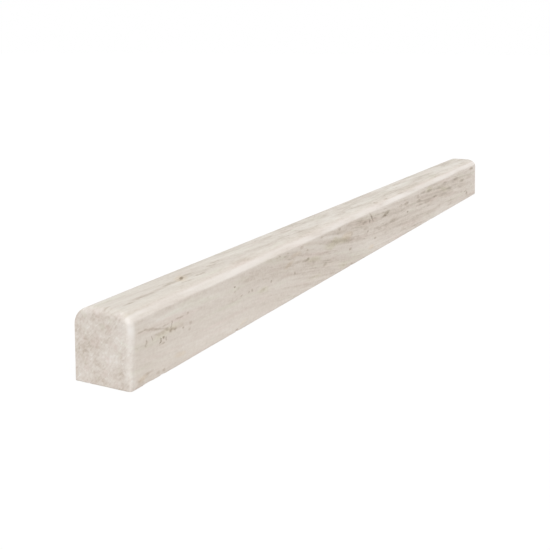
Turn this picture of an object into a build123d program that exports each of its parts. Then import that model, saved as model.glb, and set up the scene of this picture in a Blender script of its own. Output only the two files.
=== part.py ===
from build123d import *
import os

# Pencil liner tile: one slim trim bar sawn from a slab of veined stone and honed.
# It lies with its flat bonding back down, and the two long edges of its face are rounded over.
# The sawn ends are eased where they meet the face and the front side, and left square at the rear.
# Frame: origin at the middle of the back, +X along the bar, -Y out of the front side, +Z out of the face.
# All sizes are in millimetres.

# Driving dimensions
length = 305.0  # end to end, nominal 12 inch
width = 16.0  # front side to rear side, nominal 5/8 inch
depth = 18.5  # flat back to face, nominal 3/4 inch
face_edge_radius = 5.0  # round that the profile wheel puts on the two long edges of the face
wheel_offset = 0.7  # how far the wheel ran towards the front, where its round therefore leaves a ridge
ridge_radius = 0.8  # softening of that ridge
end_ease_radius = 1.8  # round on the face and front edges of each sawn end
back_arris = 0.25  # chamfer left around the flat back by the saw


def section(round_rear):
    """The wheel's rounded outline sawn off at the front side, with its rear corner square if not round_rear."""
    wheel_width = width + wheel_offset
    wheel = Pos(width / 2, 0) * Rectangle(wheel_width, depth, align=(Align.MAX, Align.MIN))
    front_corner, rear_corner = wheel.vertices().group_by(Axis.Y)[-1].sort_by(Axis.X)
    corners = [front_corner, rear_corner] if round_rear else [front_corner]
    stock = Rectangle(width, depth, align=(Align.CENTER, Align.MIN))
    profile = fillet(corners, face_edge_radius) & stock
    ridge = profile.vertices().group_by(Axis.X)[0].sort_by(Axis.Y)[-1]
    return fillet(ridge, ridge_radius)


def bar(round_rear):
    """The straight bar from end to end, with both ends still sharp."""
    return extrude(Plane.YZ * section(round_rear), amount=length / 2, both=True)


def eased_end_edges(blank):
    """Edges of both ends that are eased: the front side, its ridge, the front round and the face."""
    end_faces = blank.faces().filter_by(Axis.X)
    square_sides = [blank.faces().sort_by(Axis.Z)[0], blank.faces().sort_by(Axis.Y)[-1]]
    square_edges = [edge for side in square_sides for edge in side.edges()]
    return [edge for end in end_faces for edge in end.edges() if edge not in square_edges]


def liner_bar():
    """The finished bar. The ease runs round the front and dies out on the rear round."""
    blank = bar(round_rear=False)
    eased = fillet(eased_end_edges(blank), end_ease_radius)
    rounded = eased & bar(round_rear=True)
    back_face = rounded.faces().sort_by(Axis.Z)[0]
    return chamfer(back_face.edges(), back_arris)


os.makedirs("parts", exist_ok=True)
export_step(liner_bar(), "parts/liner_bar.step")
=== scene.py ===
# %% [markdown]
# # A pencil liner tile of honed, vein-cut stone
#
# The real object is one slim bar, sawn out of a slab so that the stone's bedding runs along it, then
# rounded over on its face and honed. There is nothing to assemble, so the whole lesson is about one
# surface: soft edges, a faintly uneven hand-honed skin, and bedding that shows as streaks on the long
# sides and as mottling on the sawn ends.
#
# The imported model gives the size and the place. Everything made here stays in that frame, in metres.

# %% Load the frame
import math

import bmesh
import bpy
from mathutils import Euler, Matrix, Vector


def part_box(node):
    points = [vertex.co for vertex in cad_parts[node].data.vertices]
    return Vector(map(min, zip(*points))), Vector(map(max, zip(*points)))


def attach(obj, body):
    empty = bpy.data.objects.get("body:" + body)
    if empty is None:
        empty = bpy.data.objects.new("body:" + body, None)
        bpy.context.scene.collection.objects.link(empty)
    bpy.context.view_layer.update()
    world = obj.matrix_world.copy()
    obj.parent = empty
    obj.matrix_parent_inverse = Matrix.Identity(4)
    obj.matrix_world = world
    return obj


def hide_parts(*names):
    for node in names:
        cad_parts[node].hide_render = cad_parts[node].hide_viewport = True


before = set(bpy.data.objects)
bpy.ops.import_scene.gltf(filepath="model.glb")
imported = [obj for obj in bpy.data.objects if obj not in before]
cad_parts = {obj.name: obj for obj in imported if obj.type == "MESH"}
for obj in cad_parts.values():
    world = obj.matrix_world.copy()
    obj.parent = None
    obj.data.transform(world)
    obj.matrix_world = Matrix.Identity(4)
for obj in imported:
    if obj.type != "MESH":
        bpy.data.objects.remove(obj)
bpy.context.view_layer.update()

MM = 0.001
low, high = (Vector(corner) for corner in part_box("liner_bar"))
bar_size = high - low
bar_middle = (low + high) / 2
print("bar in mm:", [round(side / MM, 2) for side in bar_size])

# %% [markdown]
# ## Camera
#
# The view is a product shot from low down, past the near end and along the bar, with a lens a little
# longer than normal. The upright edges stay almost upright although the bar lies below the camera, as
# they do when a view camera's back is kept nearly level and its lens is shifted. So the camera looks
# down by only a few degrees, and its shift does the rest.

# %% Camera
camera_place = Vector((-306.7, -124.6, 78.1)) * MM
heading = math.radians(27.36)  # from the bar's length towards its rear
look_down = math.radians(6.0)
quarter_turn = math.radians(90)
sensor_width = 36.0  # in millimetres, as the lens is
lens_length = 56.95
lens_shift = -0.2477  # of the picture's width

bpy.ops.object.select_all(action="DESELECT")
bpy.ops.object.camera_add(
    location=camera_place,
    rotation=(quarter_turn - look_down, 0, heading - quarter_turn),
)
camera = bpy.context.object
camera.data.sensor_width = sensor_width
camera.data.lens = lens_length
camera.data.shift_y = lens_shift
bpy.context.scene.camera = camera
print("camera at", [round(part, 4) for part in camera.location])

# %% [markdown]
# ## Shader maths as Python
#
# A stone is many thin layers of colour and relief, which means many Math nodes. Written node by node
# that is hard to read, so one small class wraps a socket and lets Python's own operators add the nodes:
# `1 - mask` is then a Subtract node. Every other node comes from one method, which takes the node's
# type, its settings and its sockets.

# %% Shader maths
class Wire:
    """An output socket of a node tree. Arithmetic on wires adds Math nodes to the tree."""

    def __init__(self, tree, socket=None):
        self.tree = tree
        self.socket = socket

    def node(self, kind, settings=None, inputs=None, output=0):
        """Add a node, set it up, fill or link its inputs and return one of its outputs."""
        made = self.tree.nodes.new(kind)
        for name, value in (settings or {}).items():
            if name == "stops":
                self.set_stops(made.color_ramp, value)
            else:
                setattr(made, name, value)
        for name, value in (inputs or {}).items():
            if isinstance(value, Wire):
                self.tree.links.new(value.socket, made.inputs[name])
            else:
                made.inputs[name].default_value = value
        return Wire(self.tree, made.outputs[output] if made.outputs else None)

    @staticmethod
    def set_stops(ramp, stops):
        """Give a colour ramp its stops, as (position, colour) from dark to pale."""
        while len(ramp.elements) < len(stops):
            ramp.elements.new(0.5)
        for element, (position, colour) in zip(ramp.elements, stops):
            element.position = position
            element.color = colour

    def math(self, operation, first, second):
        """Add a Math node."""
        return self.node("ShaderNodeMath", {"operation": operation}, {0: first, 1: second})

    def __add__(self, other):
        return self.math("ADD", self, other)

    def __radd__(self, other):
        return self.math("ADD", other, self)

    def __sub__(self, other):
        return self.math("SUBTRACT", self, other)

    def __rsub__(self, other):
        return self.math("SUBTRACT", other, self)

    def __mul__(self, other):
        return self.math("MULTIPLY", self, other)

    def __rmul__(self, other):
        return self.math("MULTIPLY", other, self)


print("operators that add a node: +, - and *")

# %% Materials and colours
def new_material(name):
    """An empty node material, and the Wire that its nodes are added with."""
    material = bpy.data.materials.new(name)
    material.use_nodes = True
    material.node_tree.nodes.clear()
    return material, Wire(material.node_tree)


def srgb(red, green, blue):
    """A colour written as it is seen, 0 to 255, as the linear colour that a shader takes."""
    def linear(level):
        share = level / 255
        return share / 12.92 if share <= 0.04045 else ((share + 0.055) / 1.055) ** 2.4
    return (linear(red), linear(green), linear(blue), 1.0)


white = srgb(255, 255, 255)
print("white is", white)

# %% [markdown]
# ## Floor and surroundings
#
# The bar lies on a seamless white sweep. A sweep that is lit until it burns out would also flood the
# stone with light, so the floor is only pale for the light that bounces, and is lifted to white for the
# camera and for mirror reflections by the Light Path node. A thin share of ordinary diffuse white is
# left in, which keeps the bar's shadow.

# %% What the sweep shows, and what it bounces
floor_bounce = srgb(220, 219, 217)
floor_glow = 0.90
shadow_share = 0.12


def seen_directly(wire):
    """1 for camera, mirror and see-through rays, 0 for the rays that carry light between surfaces."""
    def ray(name):
        return wire.node("ShaderNodeLightPath", output=name)
    return wire.math("MAXIMUM", ray("Is Camera Ray"), wire.math(
        "MAXIMUM", ray("Is Glossy Ray"), ray("Is Transmission Ray")))


def floor_material():
    """Pale for the light that bounces. Seen directly, it glows nearly white and still takes a shadow."""
    material, wire = new_material("white_sweep")
    shadow_grey = (shadow_share, shadow_share, shadow_share, 1)
    bounce = wire.node("ShaderNodeBsdfDiffuse", inputs={"Color": floor_bounce})
    glow = wire.node("ShaderNodeEmission", inputs={"Color": white, "Strength": floor_glow})
    shadowed = wire.node("ShaderNodeBsdfDiffuse", inputs={"Color": shadow_grey})
    seen = wire.node("ShaderNodeAddShader", inputs={0: glow, 1: shadowed})
    mixed = wire.node("ShaderNodeMixShader", inputs={0: seen_directly(wire), 1: bounce, 2: seen})
    wire.node("ShaderNodeOutputMaterial", inputs={"Surface": mixed})
    return material


sweep_material = floor_material()
print("sweep has", len(sweep_material.node_tree.nodes), "nodes")

# %% Floor and surroundings
floor_span = 16.0
floor_drop = 0.05 * MM
ambient_strength = 0.64


def surroundings():
    """An even fill from all round, which is plain white where it is seen directly."""
    world = bpy.data.worlds.new("studio")
    world.use_nodes = True
    world.node_tree.nodes.clear()
    wire = Wire(world.node_tree)
    strength = ambient_strength + (1 - ambient_strength) * seen_directly(wire)
    sky = wire.node("ShaderNodeBackground", inputs={"Color": white, "Strength": strength})
    wire.node("ShaderNodeOutputWorld", inputs={"Surface": sky})
    return world


bpy.ops.object.select_all(action="DESELECT")
bpy.ops.mesh.primitive_plane_add(size=floor_span, location=(0, 0, low.z - floor_drop))
floor = bpy.context.object
floor.name = "white_sweep"
floor.data.materials.append(sweep_material)
bpy.context.scene.world = surroundings()
bpy.context.scene.view_settings.view_transform = "Standard"
print("floor spans", floor_span, "m")

# %% [markdown]
# ## Light
#
# The face on top is a little brighter than the front and the near end, which are about alike, and the
# edges between them are the brightest. One broad soft light from high over the camera's side of the bar
# does most of that, with an even fill from all round; painted highlights on the edges add the rest. A Sun
# lamp with a wide angle lights like a very large softbox far away, so the sweep is as bright at its far
# edge as it is beside the bar.

# %% Light
key_direction = Vector((-0.58, -0.42, 0.72)).normalized()
key_share = 0.46  # of the light that would make a white surface facing the lamp render as white
key_softness = math.radians(50)


def add_key(direction, share, softness):
    """A soft Sun lamp that shines from a direction."""
    bpy.ops.object.select_all(action="DESELECT")
    bpy.ops.object.light_add(type="SUN", location=bar_middle + direction)
    lamp = bpy.context.object
    lamp.name = "key_light"
    lamp.rotation_euler = direction.to_track_quat("Z", "Y").to_euler()
    lamp.data.angle = softness
    lamp.data.energy = share * math.pi
    return lamp


key_light = add_key(key_direction, key_share, key_softness)
print("key light strength", round(key_light.data.energy, 2))

# %% [markdown]
# ## The bar
#
# The real bar is sawn square and run past a profile wheel that rounds both long edges of its face. The
# wheel ran a little towards the front, so there its round doesn't end smoothly: it leaves a soft ridge
# along the front side, and that ridge catches the light. Last, the ends are eased by hand. A bevel can't
# stop short of a side in this way, so the bar is made as the stone that is inside three plain forms at
# once: the sawn block with its upright front edges eased, the wheel's outline with eased ends, and a
# block with the rear round. Each form is a cube with a bevel or two.

# %% Blocks
def add_block(name, lowest, highest):
    """A square block between two corners, with its place in its mesh."""
    bpy.ops.object.select_all(action="DESELECT")
    bpy.ops.mesh.primitive_cube_add(size=1, location=(lowest + highest) / 2, scale=highest - lowest)
    bpy.context.object.name = name
    bpy.ops.object.transform_apply(location=True, rotation=True, scale=True)
    return bpy.context.object


print("a block is a cube between two corners")

# %% Bevels on chosen edges
def open_for_editing(block, pick):
    """Open one block in edit mode with nothing selected, ready to pick its VERTs, EDGEs or FACEs."""
    bpy.ops.object.select_all(action="DESELECT")
    block.select_set(True)
    bpy.context.view_layer.objects.active = block
    bpy.ops.object.mode_set(mode="EDIT")
    bpy.ops.mesh.select_mode(type=pick)
    bpy.ops.mesh.select_all(action="DESELECT")


def select_edges(block, wanted):
    """Select the edges whose two end points pass the test."""
    sketch = bmesh.from_edit_mesh(block.data)
    for edge in sketch.edges:
        edge.select_set(wanted(*[corner.co for corner in edge.verts]))
    bmesh.update_edit_mesh(block.data)


def bevel_edges(block, wanted, radius, segments):
    """Round the edges of a block that pass the test."""
    open_for_editing(block, "EDGE")
    select_edges(block, wanted)
    bpy.ops.mesh.bevel(offset=radius, segments=segments, profile=0.5, affect="EDGES", clamp_overlap=False)
    bpy.ops.object.mode_set(mode="OBJECT")
    print(block.name, "has", len(block.data.polygons), "faces after a bevel")


print("a bevel takes a block, a test for its edges, a radius and a number of steps")

# %% Modifiers and intersections
def apply_modifier(block, kind, **settings):
    """Add a modifier to a block, set it up and apply it."""
    modifier = block.modifiers.new(kind.lower(), kind)
    for name, value in settings.items():
        setattr(modifier, name, value)
    bpy.context.view_layer.objects.active = block
    bpy.ops.object.modifier_apply(modifier=modifier.name)


def keep_inside(block, form):
    """Keep the part of a block that lies inside a form, and take the form away."""
    apply_modifier(block, "BOOLEAN", operation="INTERSECT", object=form, solver="EXACT")
    bpy.data.objects.remove(form)
    print(block.name, "has", len(block.data.polygons), "faces inside the form")


print("modifiers are applied at once, so that later steps can pick faces and edges")

# %% Which edges are which
touching = 0.01 * MM  # closer than this counts as touching


def at_top(first, second):
    """Both end points lie in the face."""
    return min(first.z, second.z) > high.z - touching


def at_bottom(first, second):
    """Both end points lie in the back."""
    return max(first.z, second.z) < low.z + touching


def at_front(first, second):
    """Both end points lie in the front side, or before it."""
    return max(first.y, second.y) < low.y + touching


def at_rear(first, second):
    """Both end points lie in the rear side."""
    return min(first.y, second.y) > high.y - touching


def runs_along(first, second):
    """The edge has some length along the bar."""
    return abs(first.x - second.x) > touching


def at_an_end(first, second):
    """The edge lies in one of the sawn ends."""
    return not runs_along(first, second) and abs(abs(first.x) - high.x) < touching


print("edges are told apart to within", round(touching / MM, 3), "mm")

# %% [markdown]
# ### The sawn block
#
# The upright eases are made by hand with a pad, and they narrow towards the back. So each is bevelled
# with one radius, and its foot is then scaled towards the sharp corner that it came from.

# %% The sawn block with its upright front edges eased
end_ease_radius = 1.8 * MM
ease_steps = 8
foot_share = 0.5  # of the ease's radius, at the back

stone_bar = add_block("stone_bar", low, high)
bevel_edges(
    stone_bar,
    lambda first, second: at_an_end(first, second) and at_front(first, second),
    end_ease_radius, ease_steps,
)


def tighten_foot(block, end):
    """Draw the foot of one upright ease towards the sharp corner, so that the ease runs out downwards."""
    corner = Vector((end, low.y, low.z))
    open_for_editing(block, "VERT")
    sketch = bmesh.from_edit_mesh(block.data)
    for point in sketch.verts:
        point.select_set((point.co - corner).length < end_ease_radius + touching)
    bmesh.update_edit_mesh(block.data)
    bpy.ops.transform.resize(value=(foot_share, foot_share, 1), center_override=corner)
    bpy.ops.object.mode_set(mode="OBJECT")


tighten_foot(stone_bar, low.x)
tighten_foot(stone_bar, high.x)
print("upright eases narrow to", round(foot_share * end_ease_radius / MM, 2), "mm at the foot")

# %% [markdown]
# ### The wheel's outline and the rear round
#
# Each of the other two forms is larger than the bar on the sides where it should take nothing away. A
# Boolean with Intersect then keeps what is inside both. The sharp edges of the back come last: a saw
# leaves them with a hair of a chamfer.

# %% The outline that the wheel gives, with eased ends
face_edge_radius = 5.0 * MM
wheel_offset = 0.7 * MM
round_steps = 16
spare = 10 * MM  # how far a form stands out past the bar where it takes nothing away

wheel_form = add_block("wheel_form", low - Vector((0, wheel_offset, spare)), high + Vector((0, spare, 0)))
bevel_edges(
    wheel_form,
    lambda first, second: runs_along(first, second) and at_top(first, second) and at_front(first, second),
    face_edge_radius, round_steps,
)
bevel_edges(
    wheel_form,
    lambda first, second: at_an_end(first, second) and max(first.z, second.z) > low.z
    and min(first.y, second.y) < high.y,
    end_ease_radius, ease_steps,
)
keep_inside(stone_bar, wheel_form)

# %% The rear round, and the sawn edges of the back
sawn_arris = 0.25 * MM
arris_steps = 2

rear_form = add_block("rear_form", low - Vector((spare, spare, spare)), high + Vector((spare, 0, 0)))
bevel_edges(
    rear_form,
    lambda first, second: runs_along(first, second) and at_top(first, second) and at_rear(first, second),
    face_edge_radius, round_steps,
)
keep_inside(stone_bar, rear_form)
bevel_edges(stone_bar, at_bottom, sawn_arris, arris_steps)

# %% [markdown]
# ## A fine grid on the skin
#
# Relief needs many small faces. A remesh would make them, but it also wears the sawn edges away. Thin
# cuts keep every edge: Bisect divides the sides, the face and the ends into strips, and Subdivide then
# cuts the long strips across. The rounds already have enough strips from their bevels.

# %% Helpers for the cuts
grid = 0.5 * MM
end_zone = 3.0 * MM  # the stretch at each end that holds the eases
level = 0.02  # a normal with a smaller share than this along an axis is square to it
steep = 0.3  # a normal with a larger share than this along the bar belongs to an end or its ease


def slice_faces(block, axis, offsets, wanted):
    """Cut the faces whose normal passes the test with planes across an axis."""
    open_for_editing(block, "FACE")
    for offset in offsets:
        sketch = bmesh.from_edit_mesh(block.data)
        for face in sketch.faces:
            face.select_set(wanted(face.normal))
        bmesh.update_edit_mesh(block.data)
        bpy.ops.mesh.bisect(plane_co=axis * offset, plane_no=axis, threshold=touching)
    bpy.ops.object.mode_set(mode="OBJECT")


def steps_between(start, end, step):
    """Evenly spaced offsets inside a stretch, without its two ends."""
    count = round((end - start) / step)
    return [start + (end - start) * number / count for number in range(1, count)]


def cross_cuts():
    """Offsets along the bar in both end zones."""
    offsets = steps_between(high.x - end_zone - grid, high.x, grid)
    return [side * offset for offset in offsets for side in (-1, 1)]


print("cuts across the ends:", len(cross_cuts()))

# %% Thin cuts
slice_faces(stone_bar, Vector((0, 0, 1)), steps_between(low.z, high.z, grid),
            lambda normal: abs(normal.z) < level or abs(normal.x) > steep)
slice_faces(stone_bar, Vector((0, 1, 0)), steps_between(low.y, high.y, grid),
            lambda normal: abs(normal.y) < level or abs(normal.x) > steep)
slice_faces(stone_bar, Vector((1, 0, 0)), cross_cuts(), lambda normal: abs(normal.x) < 1 - level)
print("after the thin cuts:", len(stone_bar.data.polygons), "faces")

# %% Long strips cut across
coarse_parts = 24  # of every long edge
fine_parts = 25  # of every part that is still long


def cut_across(block, parts):
    """Divide every edge that runs a long way along the bar into parts."""
    open_for_editing(block, "EDGE")
    select_edges(block, lambda first, second: abs(first.x - second.x) > 2 * grid)
    bpy.ops.mesh.subdivide(number_cuts=parts - 1)
    bpy.ops.object.mode_set(mode="OBJECT")


cut_across(stone_bar, coarse_parts)
cut_across(stone_bar, fine_parts)
print("after the cross cuts:", len(stone_bar.data.polygons), "faces")

# %% [markdown]
# ## Chips
#
# Sawing knocks small flakes out of the sharp edge between the front side and the back. Each chip is one
# point of that edge, found by its place and pushed into the stone, with Proportional Editing taking the
# points round it along. A row gives millimetres from the near end, the depth and the reach.

# %% Chips
def chip(block, middle, push, reach):
    """Push the point of a block that is nearest to a place, and the points within reach of it."""
    open_for_editing(block, "VERT")
    sketch = bmesh.from_edit_mesh(block.data)
    nearest = min(sketch.verts, key=lambda point: (point.co - middle).length)
    nearest.select_set(True)
    bmesh.update_edit_mesh(block.data)
    bpy.ops.transform.translate(
        value=push, use_proportional_edit=True, proportional_edit_falloff="SPHERE", proportional_size=reach)
    bpy.ops.object.mode_set(mode="OBJECT")


front_chips = [
    (6.5, 0.14, 2.0), (12.6, 0.16, 0.9), (48.5, 0.18, 0.9), (131.0, 0.16, 0.9), (226.0, 0.18, 1.1),
]
lift = 0.15  # of a chip's depth
for from_end, depth, reach in front_chips:
    foot = Vector((low.x + from_end * MM, low.y, low.z))
    chip(stone_bar, foot, (0, depth * MM, lift * depth * MM), reach * MM)
print("chips:", len(front_chips))

# %% [markdown]
# ## Honed skin
#
# A honed face is never quite flat: the pads leave long shallow waves, and the grain stands a few
# hundredths of a millimetre proud. Both come from Displace with a cloud texture. They are far too small
# to change the bar's size. Smooth shading by angle then hides the strips and keeps the sharp edges.

# %% Honed skin
wave_length = 14 * MM
wave_rise = 0.08 * MM  # from trough to crest
grain_length = 1.6 * MM
grain_rise = 0.04 * MM
sharp_angle = math.radians(35)


def roughen(block, name, lump_size, depth, rise):
    """Displace a block's skin by cloud noise, as far inwards as outwards."""
    texture = bpy.data.textures.new(name, "CLOUDS")
    texture.noise_scale = lump_size
    texture.noise_depth = depth
    apply_modifier(block, "DISPLACE", texture=texture, strength=rise, mid_level=0.5)


roughen(stone_bar, "honing_waves", wave_length, 1, wave_rise)
roughen(stone_bar, "stone_grain", grain_length, 2, grain_rise)
bpy.ops.object.select_all(action="DESELECT")
stone_bar.select_set(True)
bpy.ops.object.shade_smooth_by_angle(angle=sharp_angle)
print("stone bar has", sum(len(face.vertices) - 2 for face in stone_bar.data.polygons), "triangles")

# %% [markdown]
# ## Stone
#
# The stone is a limestone that was laid down in thin beds and then cut along them. The beds run along
# the bar and sink a few degrees towards its far end, so the long sides show drawn-out streaks and the
# sawn ends show only mottling. The colour is a solid texture in millimetres through the whole bar, so
# both agree at every edge by themselves. First come the helpers: a frame that is turned and stretched,
# noise, a soft step, and soft egg-shaped places.

# %% Stretched frames, noise and soft steps
seed_steps = (371.3, 53.7, 29.1)  # from one seed's part of the noise to the next, in millimetres

material, stone = new_material("honed_stone")
from_origin = stone.node("ShaderNodeTexCoord", output="Object")
place = stone.node("ShaderNodeVectorMath", {"operation": "SCALE"}, {0: from_origin, "Scale": 1 / MM})


def stretched(vector, sizes, turn=(0, 0, 0), centre=(0, 0, 0)):
    """The vector in a frame that is moved and turned, with units of the given sizes."""
    return stone.node("ShaderNodeMapping", {"vector_type": "TEXTURE"}, {
        "Vector": vector, "Location": centre, "Rotation": turn, "Scale": sizes})


def noise(sizes, seed, turn=(0, 0, 0), detail=2.0, output=0, vector=place):
    """Soft noise around 0.5 with lumps of the given sizes. The seed picks another part of it."""
    centre = [seed * step for step in seed_steps]
    return stone.node("ShaderNodeTexNoise", inputs={
        "Vector": stretched(vector, sizes, turn, centre),
        "Scale": 1.0, "Detail": detail, "Roughness": 0.5}, output=output)


def swing(amount, soft_noise):
    """Noise around 0.5 as a swing around 0."""
    return amount * (soft_noise - 0.5)


def smooth_step(value, start, end, full=1.0):
    """0 at start and full at end, smooth between."""
    return stone.node("ShaderNodeMapRange", {"interpolation_type": "SMOOTHSTEP"}, {
        "Value": value, "From Min": start, "From Max": end, "To Max": full})


print("the stone is drawn in units of", MM, "m")

# %% Soft places
core = 0.4  # of a half size, up to where a place has its full strength
rim = 1.4  # of a half size, where it has faded out


def scatter(vector, sizes, turn, rows):
    """Soft egg-shaped places of one shape, added up. Each row gives a middle, a half size and a strength."""
    local = stretched(vector, sizes, turn)
    to_local = Euler(turn).to_matrix().inverted()
    total = 0.0
    for middle, size, strength in rows:
        centre = [part / side for part, side in zip(to_local @ Vector(middle), sizes)]
        reach = stone.node(
            "ShaderNodeVectorMath", {"operation": "DISTANCE"}, {0: local, 1: centre}, output="Value")
        total = total + smooth_step(reach, rim * size, core * size, strength)
    return total


print("a soft place fades out between", core, "and", rim, "of its half size")

# %% [markdown]
# ## Bedding
#
# Three layers of stretched noise make the beds, from bands as thick as a finger down to threads. They
# drop in the nearer half of the bar and run on lower down, and the near end is quieter than the rest.
# Two more layers are the grain, which is hardly drawn out at all, and flecks that lie across the beds.
# The sawn ends show more of those two, with blotches and pale flecks besides. The face cuts the beds at
# another angle, so there they run slowly over towards the front.

# %% Where the beds lie
near_end = low.x / MM
far_end = high.x / MM
front_side = low.y / MM
rear_side = high.y / MM
face_level = high.z / MM
bedding_turn = (0.0, math.radians(2.5), math.radians(1.0))
quiet_to = -105  # along the bar, from its middle
lively_from = -45
quiet_share = 0.28
drop_to = 5
bed_drop = 9.0

along = stone.node("ShaderNodeSeparateXYZ", inputs={0: place}, output="X")
liveliness = quiet_share + (1 - quiet_share) * smooth_step(along, quiet_to, lively_from)
sag = stone.node("ShaderNodeCombineXYZ", inputs={"Z": bed_drop * smooth_step(along, quiet_to, drop_to)})
sagged = stone.node("ShaderNodeVectorMath", {"operation": "ADD"}, {0: place, 1: sag})


def bed_noise(sizes, seed, detail=2.0):
    """Noise that is drawn out along the beds."""
    return noise(sizes, seed, bedding_turn, detail, vector=sagged)


print("beds drop by", bed_drop, "mm between", quiet_to, "and", drop_to, "mm along the bar")

# %% Beds, grain and flecks
cross_turn = (math.radians(40), math.radians(4.5), 0.0)

beds = swing(0.50, bed_noise((190, 7.0, 5.0), seed=1))
laminae = swing(0.60, bed_noise((60, 2.6, 1.6), seed=2))
threads = swing(0.34, bed_noise((24, 0.9, 0.55), seed=3))
grain = swing(0.34, noise((0.9, 0.7, 0.7), seed=4, detail=3.0))
flecks = swing(0.30, noise((3.5, 0.5, 1.5), seed=5, turn=cross_turn))
print("stone has", len(material.node_tree.nodes), "nodes with its beds")

# %% What the sawn ends and the face show
more_at_ends = 0.5  # of the grain and the flecks
pale_fleck_strength = 0.22
face_turn = (0.0, 0.0, math.radians(-7.0))

sawn_end = smooth_step(stone.math("ABSOLUTE", along, 0.0), far_end - 1.6, far_end - 0.3)
blotches = swing(0.42, noise((1.5, 1.9, 1.2), seed=13))
pale_places = smooth_step(noise((1.0, 0.45, 1.3), seed=14, turn=cross_turn), 0.60, 0.74)
end_marks = blotches + pale_fleck_strength * pale_places
mottling = (1 + more_at_ends * sawn_end) * (grain + flecks) + sawn_end * end_marks
height = stone.node("ShaderNodeSeparateXYZ", inputs={0: place}, output="Z")
honed_face = smooth_step(height, face_level - 1.0, face_level - 0.2)
face_beds = swing(0.52, noise((46, 2.3, 3.0), seed=15, turn=face_turn))
bedding = beds + liveliness * (laminae + threads) + mottling + honed_face * face_beds
print("stone has", len(material.node_tree.nodes), "nodes with its bedding")

# %% [markdown]
# ## Bands and marks
#
# What makes one bar unlike the next are its darker and paler beds and the small brown marks in them.
# Those are placed one by one as soft egg shapes: broad bands first, then thin marks of a few kinds. Noise
# shifts the coordinates that they are drawn in, which frays their rims. Each row gives millimetres from
# the near end, millimetres up the front side or back across the face, half the height or width, and how
# much darker the middle is, or paler where the number is below zero.

# %% Frayed coordinates
drawn_out = 2  # how much further the fraying reaches along the bar than across it


def frayed(lump_size, amount):
    """The place, shifted a little by noise."""
    lumps = (lump_size * drawn_out, lump_size, lump_size)
    shift = noise(lumps, seed=6, turn=bedding_turn, detail=3.0, output="Color")
    centred = stone.node("ShaderNodeVectorMath", {"operation": "SUBTRACT"}, {0: shift, 1: (0.5, 0.5, 0.5)})
    scaled = stone.node("ShaderNodeVectorMath", {"operation": "MULTIPLY"}, {
        0: centred, 1: (amount * drawn_out, amount, amount)})
    return stone.node("ShaderNodeVectorMath", {"operation": "ADD"}, {0: place, 1: scaled})


ragged = frayed(lump_size=1.2, amount=1.1)
wavy = frayed(lump_size=9.0, amount=7.0)
print("stone has", len(material.node_tree.nodes), "nodes with its frayed coordinates")

# %% Rows of marks on the front and on the face
def on_front(vector, long, deep, slope, rows):
    """Marks of one shape on the front side, long and deep in parts of their height, sloping down."""
    turn = (0, math.radians(slope), 0)
    return scatter(vector, (long, deep, 1.0), turn, [
        ((near_end + from_end, front_side, up), size, strength) for from_end, up, size, strength in rows])


def on_face(vector, long, deep, slope, rows):
    """Marks of one shape on the face, long and deep in parts of their width, sloping to the rear."""
    turn = (0, 0, math.radians(slope))
    return scatter(vector, (long, 1.0, deep), turn, [
        ((near_end + from_end, front_side + back, face_level), size, strength)
        for from_end, back, size, strength in rows])


print("rows count from", round(near_end, 1), "mm along the bar")

# %% Bands
# The pale rows from 13.8 mm up lie just under the ridge and lift the shade that falls there: painted light.
# The other rows are darker and paler beds.
front_bands_and_painted_light = on_front(wavy, long=15, deep=1.2, slope=2, rows=[
    (30, 6.5, 6.5, -0.13), (30, 3.8, 1.8, -0.09), (30, 13.8, 1.6, -0.15), (92, 3.5, 2.6, 0.08),
    (90, 9.5, 1.6, -0.04), (160, 11.0, 2.4, 0.08), (160, 9.0, 1.5, 0.06), (160, 14.6, 0.9, -0.06),
    (150, 2.5, 2.6, -0.09), (245, 10.6, 3.2, 0.22), (248, 0.8, 2.4, -0.21), (12, 15.3, 0.9, -0.12),
    (42, 15.2, 0.9, -0.10), (80, 15.6, 0.7, -0.05),
])
dropping_bands = on_front(wavy, long=12, deep=1.2, slope=8, rows=[
    (122, 11.0, 1.8, 0.10), (108, 7.0, 1.4, 0.05),
])
face_bands = on_face(wavy, long=20, deep=2.0, slope=-2, rows=[
    (30, 6.0, 1.6, 0.09), (35, 13.0, 1.2, 0.05), (32, 10.4, 0.8, -0.05), (85, 8.0, 2.0, -0.09),
    (160, 3.5, 0.7, 0.07), (160, 5.6, 1.0, -0.04), (165, 10.2, 1.8, 0.12), (250, 4.8, 1.0, 0.03),
    (250, 7.5, 1.4, -0.10), (245, 11.4, 1.0, 0.04), (216, 9.0, 1.2, -0.05), (286, 6.0, 1.2, -0.06),
])
crossing_bands = on_face(wavy, long=22, deep=2.0, slope=-7, rows=[
    (97, 9.2, 0.7, 0.11), (136, 4.6, 0.6, 0.09), (112, 4.4, 0.8, -0.06), (128, 9.0, 0.7, 0.07),
    (75, 5.4, 0.5, 0.07), (62, 10.2, 0.6, 0.07), (192, 6.6, 0.7, 0.08), (226, 5.6, 0.6, 0.08),
])
bands = front_bands_and_painted_light + dropping_bands + face_bands + crossing_bands
print("stone has", len(material.node_tree.nodes), "nodes with its bands")

# %% [markdown]
# ### Thin marks
#
# The thin brown marks are of five kinds: streaks that follow the beds, shorter dashes, round spots,
# upright ticks, and slants that cross the beds. All marks of a kind share one stretched frame, so a row
# costs only a distance and a soft step. Last, a fine noise breaks them up, and procedural seams fill in
# between them where the beds are lively.

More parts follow.
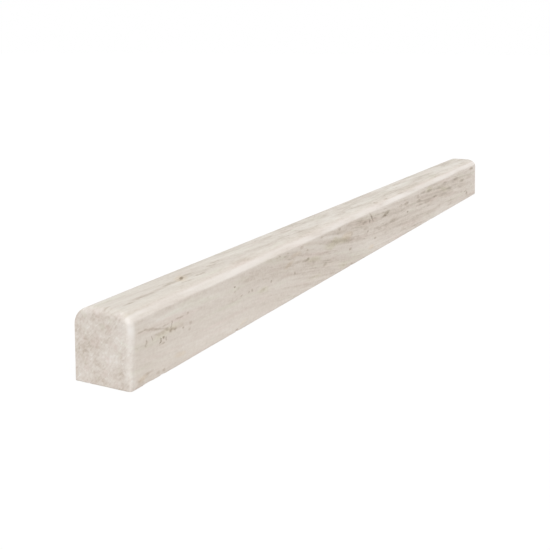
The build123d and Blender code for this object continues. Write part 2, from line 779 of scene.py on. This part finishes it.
# %% Streaks and dashes
streaks = on_front(ragged, long=6, deep=3, slope=1, rows=[
    (3.8, 13.0, 0.24, 0.20), (14.0, 11.9, 0.26, 0.22), (20.2, 11.9, 0.32, 0.26), (11.8, 10.4, 0.38, 0.19),
    (30.5, 11.8, 0.5, 0.08), (6.8, 2.4, 0.3, 0.22), (46.0, 9.3, 0.7, 0.12), (55.0, 12.9, 0.6, 0.08),
    (75.0, 8.5, 0.5, 0.10), (81.2, 11.3, 0.6, 0.10), (101.0, 9.4, 0.9, 0.09), (16.6, 9.8, 0.42, 0.14),
    (121.0, 14.0, 0.7, 0.10), (137.0, 8.4, 0.6, 0.09), (144.0, 8.8, 0.6, 0.12), (143.5, 13.3, 0.45, 0.16),
    (145.0, 10.9, 0.45, 0.12), (153.8, 13.3, 0.3, 0.12), (178.0, 8.6, 1.0, 0.09), (184.0, 13.1, 0.5, 0.21),
    (186.0, 11.0, 0.5, 0.09), (191.0, 12.9, 0.6, 0.38), (213.5, 14.3, 0.55, 0.22), (220.0, 9.6, 1.0, 0.15),
    (223.0, 13.8, 0.65, 0.25), (237.5, 12.9, 0.55, 0.12), (242.5, 9.3, 1.0, 0.09), (247.5, 14.0, 0.75, 0.17),
    (295.0, 14.9, 0.65, 0.42), (291.0, 11.3, 1.0, 0.13), (284.0, 4.5, 0.4, 0.26), (20.5, 10.0, 0.5, 0.12),
    (176.0, 9.6, 0.8, 0.08), (277.0, 5.0, 0.4, 0.14), (93.0, 10.4, 0.5, 0.22), (87.0, 10.9, 0.5, 0.14),
    (207.5, 11.5, 0.55, 0.20), (209.5, 9.5, 0.55, 0.18), (232.0, 9.9, 0.6, 0.20), (254.8, 10.3, 0.7, 0.24),
    (266.0, 13.4, 0.7, 0.16), (277.0, 11.0, 0.8, 0.26),
])
dashes = on_front(ragged, long=2.5, deep=2.5, slope=2, rows=[
    (21.7, 8.9, 0.27, 0.36), (24.4, 7.8, 0.25, 0.22), (47.2, 12.8, 0.27, 0.55), (49.2, 12.0, 0.35, 0.16),
    (47.2, 11.6, 0.35, 0.19), (51.2, 9.5, 0.32, 0.28), (63.5, 8.0, 0.6, 0.16), (74.2, 15.5, 0.22, 0.26),
    (77.8, 14.7, 0.35, 0.16), (89.5, 15.0, 0.5, 0.23), (94.0, 13.4, 0.3, 0.27), (94.0, 10.4, 0.5, 0.14),
    (105.0, 15.3, 0.45, 0.18), (119.8, 15.3, 0.5, 0.18), (107.8, 5.6, 0.7, 0.19), (129.8, 6.2, 0.55, 0.36),
    (147.0, 9.5, 0.45, 0.30), (154.7, 5.4, 0.5, 0.32), (166.5, 7.8, 1.1, 0.08), (192.7, 9.3, 0.45, 0.42),
    (206.6, 13.4, 0.75, 0.16), (277.0, 11.0, 0.7, 0.12), (286.5, 3.3, 0.7, 0.32), (13.2, 1.0, 0.28, 0.22),
    (10.9, 1.1, 0.35, 0.14), (48.6, 0.5, 0.35, 0.32), (296.0, 6.2, 0.5, 0.20), (238.5, 4.3, 0.8, 0.12),
    (258.0, 4.0, 0.6, 0.12), (131.0, 0.6, 0.5, 0.16),
])
print("stone has", len(material.node_tree.nodes), "nodes with its streaks and dashes")

# %% Spots and ticks
spots = on_front(ragged, long=1.4, deep=1.5, slope=0, rows=[
    (15.9, 9.9, 0.5, 0.21), (18.0, 9.4, 0.45, 0.13), (14.7, 10.8, 0.32, 0.10), (12.9, 9.0, 0.4, 0.50),
    (12.8, 7.7, 0.35, 0.28), (24.9, 9.3, 0.5, 0.23), (23.5, 12.0, 0.4, 0.25), (5.5, 13.1, 0.25, 0.09),
    (57.1, 9.5, 0.45, 0.34), (69.0, 9.1, 0.42, 0.30), (84.6, 8.0, 0.5, 0.27), (79.6, 15.3, 0.35, 0.13),
    (131.5, 11.4, 0.5, 0.26), (148.8, 13.0, 0.7, 0.22), (33.3, 13.6, 0.3, 0.12), (3.8, 1.0, 0.9, 0.14),
    (287.5, 3.0, 1.1, 0.14),
])
ticks = on_front(ragged, long=0.28, deep=1.5, slope=0, rows=[
    (6.1, 9.9, 1.15, 0.24), (8.5, 10.2, 0.7, 0.44), (16.5, 11.3, 1.0, 0.40), (11.6, 8.6, 0.9, 0.50),
    (14.1, 8.4, 0.7, 0.38), (55.1, 9.4, 0.55, 0.34),
])
print("stone has", len(material.node_tree.nodes), "nodes with its spots and ticks")

# %% Slants
rising_slant = on_front(ragged, long=6.5, deep=3, slope=-8, rows=[
    (166.5, 12.8, 0.68, 0.32),
])
steep_slant = on_front(ragged, long=6, deep=2, slope=44, rows=[
    (150.6, 14.4, 0.5, 0.30),
])
near_slants = on_front(ragged, long=9, deep=3, slope=14, rows=[
    (8.6, 12.3, 0.40, 0.26), (15.0, 10.6, 0.40, 0.20),
])
sinking_slants = on_front(ragged, long=8, deep=3, slope=9, rows=[
    (113.0, 11.9, 0.9, 0.10), (128.0, 9.9, 0.8, 0.12), (136.0, 9.4, 0.5, 0.10), (98.0, 8.6, 0.5, 0.10),
    (140.0, 14.3, 0.6, 0.10), (158.0, 8.7, 0.5, 0.12), (273.0, 8.4, 0.6, 0.12), (188.0, 2.6, 0.5, 0.12),
])
slants = rising_slant + steep_slant + near_slants + sinking_slants
print("stone has", len(material.node_tree.nodes), "nodes with its slants")

# %% Marks on the face, and seams
face_knot = on_face(ragged, long=3.4, deep=3, slope=30, rows=[
    (30.6, 6.3, 0.5, 0.45),
])
face_streaks = on_face(ragged, long=6, deep=2.5, slope=-3, rows=[
    (1.0, 7.6, 0.3, 0.20), (6.6, 4.8, 0.35, 0.22), (12.8, 5.4, 0.8, 0.18), (20.0, 5.6, 0.6, 0.12),
    (25.2, 6.0, 0.6, 0.22), (29.5, 3.7, 0.5, 0.18), (34.5, 7.0, 0.55, 0.22), (36.6, 4.4, 0.5, 0.22),
    (46.0, 6.6, 0.5, 0.20), (49.5, 7.8, 0.4, 0.22), (84.0, 9.4, 0.6, 0.12), (96.0, 8.0, 0.6, 0.12),
    (160.0, 2.1, 0.4, 0.30), (171.0, 1.9, 0.4, 0.26), (143.0, 6.5, 0.6, 0.14), (203.0, 9.0, 0.7, 0.14),
    (238.0, 4.5, 0.7, 0.12),
])
face_marks = face_knot + face_streaks

least_mark = 0.5
seam_strength = 0.20
broken = least_mark + noise((1.1, 0.6, 0.6), seed=7)
marks = broken * (streaks + dashes + spots + ticks + slants + face_marks)
seam_places = smooth_step(bed_noise((7.0, 0.9, 0.45), seed=12, detail=1.0), 0.62, 0.76)
seams = seam_strength * liveliness * seam_places
print("stone has", len(material.node_tree.nodes), "nodes with its marks and seams")

# %% [markdown]
# ## Colours and tints
#
# The tone runs through one ramp, from the brown of the seams to the palest beds. Over it go weak tints:
# olive and rust where the darker beds carry clay and iron, a trace of rose and green that comes and goes
# along the beds, and a slightly cooler cast on the honed face. A tint multiplies the colour, so it works
# alike on dark and on pale stone.

# %% Where the stone is tinted
olive = on_front(wavy, long=6, deep=3, slope=3, rows=[
    (113.0, 12.0, 1.2, 0.9), (122.0, 10.5, 1.0, 0.8), (222.0, 14.4, 0.9, 0.9), (246.0, 11.3, 1.1, 1.0),
    (63.0, 8.2, 0.8, 0.6), (15.0, 10.4, 0.9, 0.6), (101.0, 9.6, 0.8, 0.7), (99.0, 3.4, 0.9, 0.5),
    (124.0, 2.4, 0.9, 0.8),
])
rusty_places = on_front(wavy, long=4, deep=3, slope=3, rows=[
    (19.8, 1.7, 0.5, 0.6), (51.0, 2.0, 0.5, 0.5), (149.5, 3.0, 0.8, 0.8), (127.0, 11.2, 1.2, 0.7),
    (85.0, 13.0, 1.0, 0.6), (4.0, 1.2, 0.7, 0.7), (81.0, 11.2, 0.8, 0.6),
])
rusty_knot = on_face(ragged, long=1.8, deep=2, slope=30, rows=[
    (30.4, 6.4, 1.7, 1.0),
])
rust = rusty_places + rusty_knot
rose = smooth_step(bed_noise((30, 3.0, 2.5), seed=8), 0.52, 0.70)
green = smooth_step(bed_noise((26, 2.6, 2.2), seed=9), 0.54, 0.72)
print("stone has", len(material.node_tree.nodes), "nodes with its tinted places")

# %% Colours and tints
MIX_FACTOR, MIX_FIRST, MIX_SECOND, MIX_RESULT = 0, 6, 7, 2  # sockets of a Mix node that mixes colours
middle_tone = 0.53
olive_depth = 0.06
rust_depth = 0.05
olive_tint = (0.975, 1.0, 0.92, 1.0)
rust_tint = (1.0, 0.955, 0.88, 1.0)
rose_tint = (1.0, 0.975, 0.98, 1.0)
green_tint = (0.978, 1.0, 0.97, 1.0)
face_tint = (0.976, 1.0, 0.994, 1.0)


def tinted(colour, amount, tint):
    """The colour, multiplied by a tint where the amount is 1."""
    return stone.node("ShaderNodeMix", {"data_type": "RGBA", "blend_type": "MULTIPLY"}, {
        MIX_FACTOR: amount, MIX_FIRST: colour, MIX_SECOND: tint}, output=MIX_RESULT)


tone = middle_tone + bedding - bands - marks - seams - olive_depth * olive - rust_depth * rust
colour = stone.node("ShaderNodeValToRGB", {"stops": [
    (0.0, srgb(146, 132, 114)),
    (0.2, srgb(184, 170, 155)),
    (0.4, srgb(207, 194.5, 181.5)),
    (0.54, srgb(219, 208.3, 197.5)),
    (0.75, srgb(230, 221.5, 212)),
    (1.0, srgb(240, 235, 229)),
]}, {"Fac": tone})
colour = tinted(colour, olive, olive_tint)
colour = tinted(colour, rust, rust_tint)
colour = tinted(colour, rose, rose_tint)
colour = tinted(colour, green, green_tint)
colour = tinted(colour, honed_face, face_tint)
print("stone has", len(material.node_tree.nodes), "nodes with its colours")

# %% [markdown]
# ## Painted highlights, gloss and relief
#
# The ridge, the eases of the ends and the near corner carry painted highlights: their colour is mixed
# towards a pale stone colour in patches, and they are made a little smoother than the flats. The brown
# marks are softer than the stone round them, so they stay duller. The back and the rear side keep fine saw
# lines along the bar. All of it only steers colour, roughness and a bump of a few hundredths of a
# millimetre. Each painted highlight has a middle, a half size and a strength, as the marks do.

# %% Where the edges get painted highlights
endless = 100000  # far longer than the bar, for a painted highlight that follows a whole edge
foot_share_of_highlight = 0.4  # the painted highlight on the upright eases is weaker towards the back


def highlighted(sizes, rows):
    """Soft places of painted highlight, square to the bar."""
    return scatter(place, sizes, (0, 0, 0), rows)


# Painted highlights: pale bands along the ridge, the top edges of the ends and the upright eases.
ridge_highlight = highlighted((endless, 1, 1), [
    ((0, front_side + 0.6, face_level - 1.65), 1.15, 1.0),
])
end_edge_highlight = highlighted((1, endless, 1), [
    ((near_end + 0.3, 0, face_level - 0.9), 0.9, 0.3), ((far_end - 0.3, 0, face_level - 0.9), 0.9, 0.3),
])
upright_highlight = highlighted((1, 1, endless), [
    ((near_end + 0.7, front_side + 0.2, 0), 1.2, 1.1), ((far_end - 0.7, front_side + 0.2, 0), 1.2, 1.1),
])
towards_face = smooth_step(height, 3, face_level - 2)
upright_highlight = (foot_share_of_highlight + (1 - foot_share_of_highlight) * towards_face) * upright_highlight
# Painted highlight on the near corner.
corner_highlight = highlighted((1, 1, 1), [
    ((near_end + 0.3, front_side + 1.8, face_level - 3.0), 2.6, 0.35),
])
print("stone has", len(material.node_tree.nodes), "nodes with its worn places")

# %% Painted highlight colour
least_highlight = -0.3
highlight_patch_range = 2.6
highlight_strength = 0.56
highlight_colour = srgb(240, 234, 228)
sawn_end_tint = (0.975, 0.985, 1.0, 1.0)

# The painted highlights come and go in patches, and mix the colour towards a pale stone colour.
highlight_patches = least_highlight + highlight_patch_range * noise((20, 3, 3), seed=11)
edge_highlights = stone.math("MAXIMUM", end_edge_highlight, stone.math("MAXIMUM", ridge_highlight, upright_highlight))
painted_highlight = highlight_patches * stone.math("MAXIMUM", edge_highlights, corner_highlight)
colour = stone.node("ShaderNodeMix", {"data_type": "RGBA"}, {
    MIX_FACTOR: highlight_strength * painted_highlight, MIX_FIRST: colour, MIX_SECOND: highlight_colour}, output=MIX_RESULT)
colour = tinted(colour, sawn_end, sawn_end_tint)
print("stone has", len(material.node_tree.nodes), "nodes with its worn colour")

# %% Gloss and relief
honed_roughness = 0.44
rough_grain = 0.5
dull_marks = 0.3
rough_saw = 0.08
polish = 0.06
thread_relief = 0.4
saw_relief = 0.5
bump_strength = 0.6
bump_height = 0.05 * MM

across = stone.node("ShaderNodeSeparateXYZ", inputs={0: place}, output="Y")
sawn = smooth_step(across, rear_side - 0.3, rear_side - 0.1) + smooth_step(height, 0.3, 0.1)
saw_lines = swing(sawn, noise((250, 0.35, 0.35), seed=10))
roughness = honed_roughness + rough_grain * grain + dull_marks * marks + rough_saw * sawn - polish * painted_highlight
relief = stone.node("ShaderNodeBump", inputs={
    "Strength": bump_strength, "Distance": bump_height,
    "Height": grain + thread_relief * threads + saw_relief * saw_lines})
surface = stone.node("ShaderNodeBsdfPrincipled", inputs={
    "Base Color": colour, "Roughness": roughness, "Normal": relief})
stone.node("ShaderNodeOutputMaterial", inputs={"Surface": surface})
stone_bar.data.materials.clear()
stone_bar.data.materials.append(material)
print("stone has", len(material.node_tree.nodes), "nodes in all")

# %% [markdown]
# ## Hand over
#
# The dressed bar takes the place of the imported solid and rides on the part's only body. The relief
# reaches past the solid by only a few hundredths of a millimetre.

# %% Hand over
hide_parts("liner_bar")
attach(stone_bar, "root")
